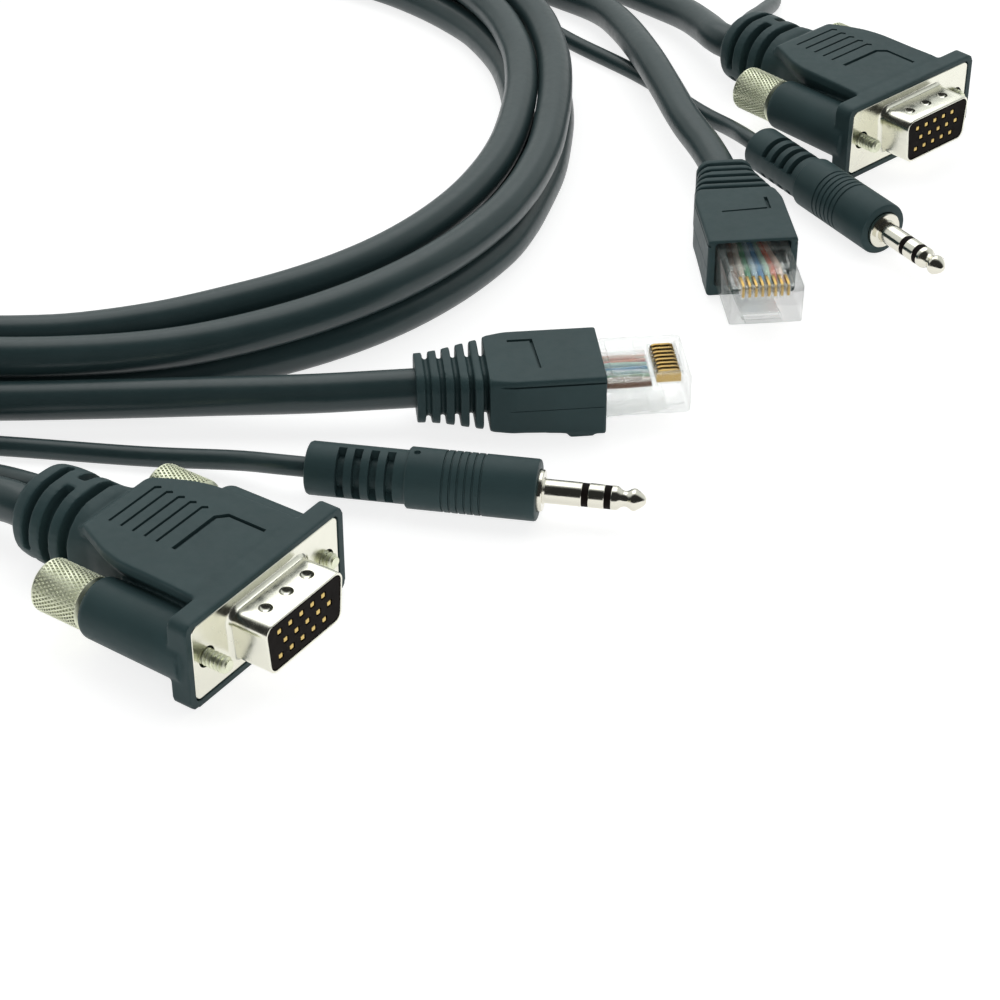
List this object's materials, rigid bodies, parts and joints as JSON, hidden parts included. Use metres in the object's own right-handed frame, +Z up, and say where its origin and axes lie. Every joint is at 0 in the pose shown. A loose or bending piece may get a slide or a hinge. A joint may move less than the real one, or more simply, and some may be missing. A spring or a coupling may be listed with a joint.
{
  "type": "interface cable",
  "caption": "Dark grey interface cable, coiled, with video, network and audio plugs at both ends.",
  "frame": {"origin": "middle of the lower edge of the front video connector's mating face, on the surface the cable lies on", "axes": "+Z up, away from that surface; +Y towards the coil and the far end; +X to the right as seen from the side where the front connectors lie"},
  "size_m": [0.2661, 0.2527, 0.0139],
  "materials": {
    "moulded_plastic": "fine satin moulded PVC",
    "cord_jacket": "smooth satin PVC jacket",
    "nickel": "bright nickel plate on drawn steel",
    "knob_nickel": "nickel plate over a knurl",
    "contact_block": "moulded black",
    "gilt_contact": "gilt",
    "brass_contact": "gilt, stamped",
    "clear_plastic": "clear polycarbonate",
    "wire_insulation": "coloured core insulation"
  },
  "bodies": {
    "cable": {"coil_tie": "contact_block", "cord_coil": "cord_jacket", "front_audio_body": "moulded_plastic", "front_audio_cord": "cord_jacket", "front_audio_insulator_1": "contact_block", "front_audio_insulator_2": "contact_block", "front_audio_ring": "nickel", "front_audio_sleeve": "nickel", "front_audio_tip": "nickel", "front_network_boot": "moulded_plastic", "front_network_contact_1": "brass_contact", "front_network_contact_2": "brass_contact", "front_network_contact_3": "brass_contact", "front_network_contact_4": "brass_contact", "front_network_contact_5": "brass_contact", "front_network_contact_6": "brass_contact", "front_network_contact_7": "brass_contact", "front_network_contact_8": "brass_contact", "front_network_cord": "cord_jacket", "front_network_plug": "clear_plastic", "front_network_wires": "wire_insulation", "front_video_contacts": "gilt_contact", "front_video_cord": "cord_jacket", "front_video_hood": "moulded_plastic", "front_video_insulator": "contact_block", "front_video_shell": "nickel", "rear_audio_body": "moulded_plastic", "rear_audio_cord": "cord_jacket", "rear_audio_insulator_1": "contact_block", "rear_audio_insulator_2": "contact_block", "rear_audio_ring": "nickel", "rear_audio_sleeve": "nickel", "rear_audio_tip": "nickel", "rear_network_boot": "moulded_plastic", "rear_network_contact_1": "brass_contact", "rear_network_contact_2": "brass_contact", "rear_network_contact_3": "brass_contact", "rear_network_contact_4": "brass_contact", "rear_network_contact_5": "brass_contact", "rear_network_contact_6": "brass_contact", "rear_network_contact_7": "brass_contact", "rear_network_contact_8": "brass_contact", "rear_network_cord": "cord_jacket", "rear_network_plug": "clear_plastic", "rear_network_wires": "wire_insulation", "rear_video_contacts": "gilt_contact", "rear_video_cord": "cord_jacket", "rear_video_hood": "moulded_plastic", "rear_video_insulator": "contact_block", "rear_video_shell": "nickel"},
    "front_left_screw": {"front_video_left_thumbscrew": "knob_nickel"},
    "front_right_screw": {"front_video_right_thumbscrew": "knob_nickel"},
    "rear_left_screw": {"rear_video_left_thumbscrew": "knob_nickel"},
    "rear_right_screw": {"rear_video_right_thumbscrew": "knob_nickel"}
  },
  "joints": [
    {"name": "front_left_screw_turn", "type": "hinge", "parent": "cable", "child": "front_left_screw", "pos_m": [0.00708, 0.0103, 0.0069], "axis": [0.8241, -0.5664, 0], "continuous": true},
    {"name": "front_right_screw_turn", "type": "hinge", "parent": "cable", "child": "front_right_screw", "pos_m": [-0.00708, -0.0103, 0.0069], "axis": [0.8241, -0.5664, 0], "continuous": true},
    {"name": "rear_left_screw_turn", "type": "hinge", "parent": "cable", "child": "rear_left_screw", "pos_m": [0.11095, 0.14711, 0.0069], "axis": [0.673, -0.7396, 0], "continuous": true},
    {"name": "rear_right_screw_turn", "type": "hinge", "parent": "cable", "child": "rear_right_screw", "pos_m": [0.09245, 0.13029, 0.0069], "axis": [0.673, -0.7396, 0], "continuous": true}
  ]
}
